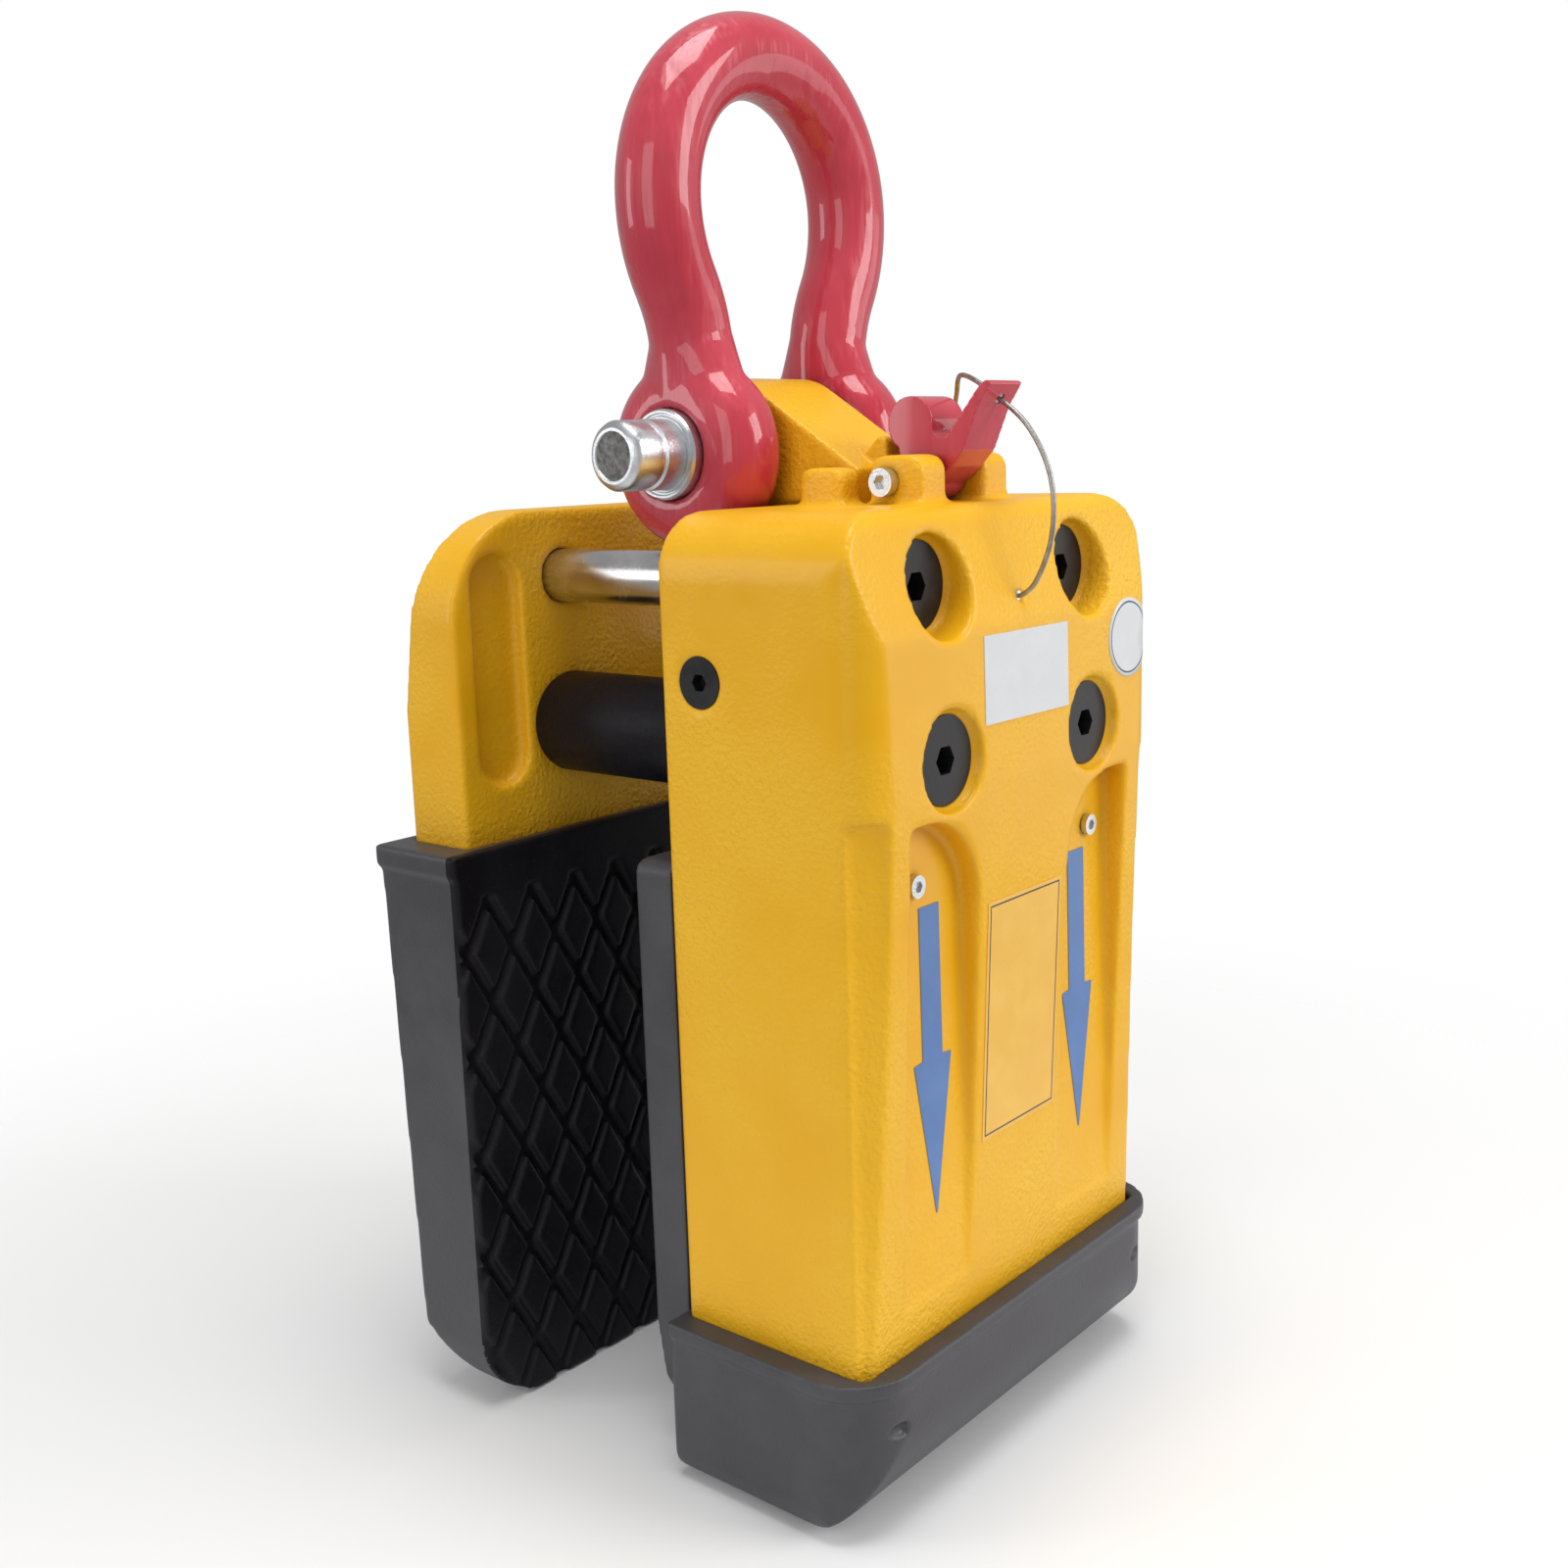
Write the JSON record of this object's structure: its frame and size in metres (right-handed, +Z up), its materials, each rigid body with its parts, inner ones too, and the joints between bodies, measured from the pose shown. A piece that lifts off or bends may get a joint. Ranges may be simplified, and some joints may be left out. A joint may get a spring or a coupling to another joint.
{
  "type": "stone slab lifting clamp",
  "caption": "Yellow cast lifting clamp for stone slabs with a red bow shackle, rubber-faced jaws, a sliding lifting bar and a small red latch.",
  "frame": {"origin": "on the ground under the middle of the clamp's box, measured without the wire lanyard", "axes": "+X along the shackle pin, +Y from the housing towards the fixed jaw, +Z up"},
  "size_m": [0.2512, 0.25, 0.5647],
  "materials": {
    "yellow_paint": "textured gloss enamel over a casting",
    "red_paint": "smooth gloss enamel",
    "black_rubber": "moulded, matt",
    "polished_steel": "polished round bar",
    "machined_steel": "machined",
    "black_steel": "black oxide",
    "zinc": "bright zinc plate",
    "wire_steel": "drawn wire",
    "bronze": "turned bronze",
    "cream_nylon": "turned nylon"
  },
  "bodies": {
    "housing": {"housing_body": "yellow_paint", "bottom_boot": "black_rubber", "rear_jaw_plate": "yellow_paint", "rear_jaw_pad": "black_rubber", "upper_tie_rods": "polished_steel", "lower_tie_rods": "polished_steel", "front_tie_screws": "black_steel", "rear_tie_screws": "black_steel", "nylon_washers": "cream_nylon", "buffer_sleeves": "black_rubber", "side_screws": "black_steel", "stop_shaft": "machined_steel", "guide_plate": "machined_steel", "guide_bushes": "bronze", "guide_plate_screws": "zinc", "wear_blocks": "bronze", "scoop_screws": "zinc", "latch_pin": "zinc", "latch_pin_screw": "zinc", "housing_ferrule": "zinc", "lanyard_wire": "wire_steel"},
    "bar": {"lifting_bar": "yellow_paint", "bar_bush": "bronze", "cam_pins": "machined_steel", "cam_rollers": "machined_steel"},
    "jaw": {"moving_jaw_carrier": "yellow_paint", "jaw_guide_pins": "machined_steel", "moving_jaw_pad": "black_rubber"},
    "shackle": {"shackle_bow": "red_paint", "shackle_bushes": "zinc", "shackle_pin": "zinc"},
    "latch": {"latch_hook": "red_paint", "latch_ferrule": "zinc", "lanyard_wire_end": "wire_steel"}
  },
  "joints": [
    {"name": "lift_slide", "type": "slide", "parent": "housing", "child": "bar", "axis": [0, 0, 1], "range_m": [0, 0.065]},
    {"name": "jaw_slide", "type": "slide", "parent": "housing", "child": "jaw", "axis": [0, 1, 0], "range_m": [0, 0.05]},
    {"name": "shackle_swing", "type": "hinge", "parent": "bar", "child": "shackle", "pos_m": [0, 0.00675, 0.3965], "axis": [1, 0, 0], "range_deg": [-88, 60]},
    {"name": "latch_pivot", "type": "hinge", "parent": "housing", "child": "latch", "pos_m": [0, -0.07645, 0.3841], "axis": [1, 0, 0], "range_deg": [0, 35], "deforming": ["lanyard_wire"]}
  ],
  "couplings": [
    {"joint": "jaw_slide", "follows": "lift_slide", "ratio": 0.76923}
  ]
}
